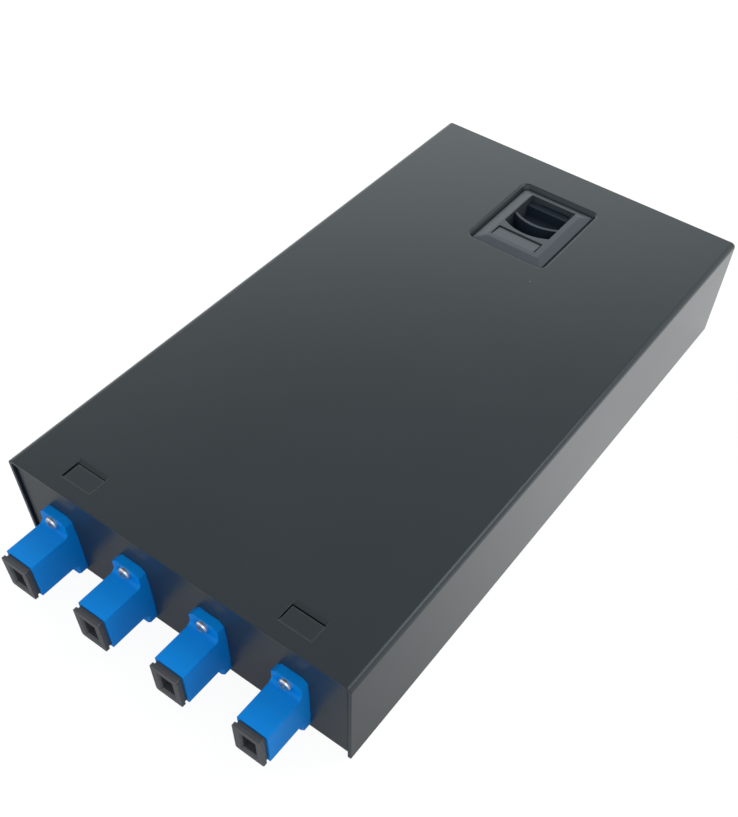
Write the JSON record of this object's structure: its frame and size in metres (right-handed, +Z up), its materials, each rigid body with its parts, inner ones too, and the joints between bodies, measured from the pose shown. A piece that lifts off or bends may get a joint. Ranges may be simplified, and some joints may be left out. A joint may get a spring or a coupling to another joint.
{
  "type": "fibre distribution box",
  "caption": "Flat folded-steel fibre box with a row of simplex SC adapters in front, a slide-latched lift-off cover, and a splice tray and cable clamps inside.",
  "frame": {"origin": "middle of the underside of the casing, 200 mm long and 110 mm wide, without the adapters", "axes": "+Z up out of the cover's top, -Y out of the front panel with the adapters, +X to the right as the front panel is faced"},
  "size_m": [0.11, 0.2175, 0.035],
  "materials": {
    "powder_coat": "dark grey satin powder coat",
    "latch_plastic": "dark grey moulded plastic",
    "spring_steel": "drawn spring wire",
    "adapter_blue": "blue moulded plastic, semi-gloss",
    "holder_plastic": "natural white moulded plastic",
    "sleeve_ceramic": "white zirconia",
    "plug_black": "black moulded plastic",
    "plated_steel": "bright zinc plate",
    "tray_plastic": "light grey moulded plastic",
    "black_rubber": "moulded rubber"
  },
  "bodies": {
    "casing": {"base_tray": "powder_coat", "adapter_screws": "plated_steel", "adapter_nuts": "plated_steel", "splice_tray": "tray_plastic", "splice_comb": "tray_plastic", "tray_standoffs": "plated_steel", "tray_screws": "plated_steel", "cable_grommet_left": "black_rubber", "cable_grommet_right": "black_rubber", "cable_clamp_left": "plated_steel", "cable_clamp_right": "plated_steel", "clamp_studs": "plated_steel", "clamp_nuts": "plated_steel", "strength_stud": "plated_steel", "strength_washers": "plated_steel", "strength_nut": "plated_steel", "adapter_1": "adapter_blue", "adapter_holder_1": "holder_plastic", "adapter_sleeve_1": "sleeve_ceramic", "adapter_2": "adapter_blue", "adapter_holder_2": "holder_plastic", "adapter_sleeve_2": "sleeve_ceramic", "adapter_3": "adapter_blue", "adapter_holder_3": "holder_plastic", "adapter_sleeve_3": "sleeve_ceramic", "adapter_4": "adapter_blue", "adapter_holder_4": "holder_plastic", "adapter_sleeve_4": "sleeve_ceramic"},
    "cover": {"cover": "powder_coat", "latch_bezel": "latch_plastic", "latch_spring": "spring_steel"},
    "latch_slide": {"latch_slider": "latch_plastic"},
    "front_plug_1": {"front_plug_1": "plug_black"},
    "front_plug_2": {"front_plug_2": "plug_black"},
    "front_plug_3": {"front_plug_3": "plug_black"},
    "front_plug_4": {"front_plug_4": "plug_black"},
    "rear_plug_1": {"rear_plug_1": "plug_black"},
    "rear_plug_2": {"rear_plug_2": "plug_black"},
    "rear_plug_3": {"rear_plug_3": "plug_black"},
    "rear_plug_4": {"rear_plug_4": "plug_black"}
  },
  "joints": [
    {"name": "cover_lift_off", "type": "slide", "parent": "casing", "child": "cover", "axis": [0, -0.9848, 0.1736], "range_m": [0, 0.22]},
    {"name": "latch_pull", "type": "slide", "parent": "cover", "child": "latch_slide", "axis": [0, -1, 0], "range_m": [0, 0.004], "stiffness_N_per_m": 150, "springref_m": -0.004, "deforming": ["latch_spring"]},
    {"name": "front_plug_1_pull", "type": "slide", "parent": "casing", "child": "front_plug_1", "axis": [0, -1, 0], "range_m": [0, 0.012]},
    {"name": "front_plug_2_pull", "type": "slide", "parent": "casing", "child": "front_plug_2", "axis": [0, -1, 0], "range_m": [0, 0.012]},
    {"name": "front_plug_3_pull", "type": "slide", "parent": "casing", "child": "front_plug_3", "axis": [0, -1, 0], "range_m": [0, 0.012]},
    {"name": "front_plug_4_pull", "type": "slide", "parent": "casing", "child": "front_plug_4", "axis": [0, -1, 0], "range_m": [0, 0.012]},
    {"name": "rear_plug_1_pull", "type": "slide", "parent": "casing", "child": "rear_plug_1", "axis": [0, 1, 0], "range_m": [0, 0.012]},
    {"name": "rear_plug_2_pull", "type": "slide", "parent": "casing", "child": "rear_plug_2", "axis": [0, 1, 0], "range_m": [0, 0.012]},
    {"name": "rear_plug_3_pull", "type": "slide", "parent": "casing", "child": "rear_plug_3", "axis": [0, 1, 0], "range_m": [0, 0.012]},
    {"name": "rear_plug_4_pull", "type": "slide", "parent": "casing", "child": "rear_plug_4", "axis": [0, 1, 0], "range_m": [0, 0.012]}
  ]
}
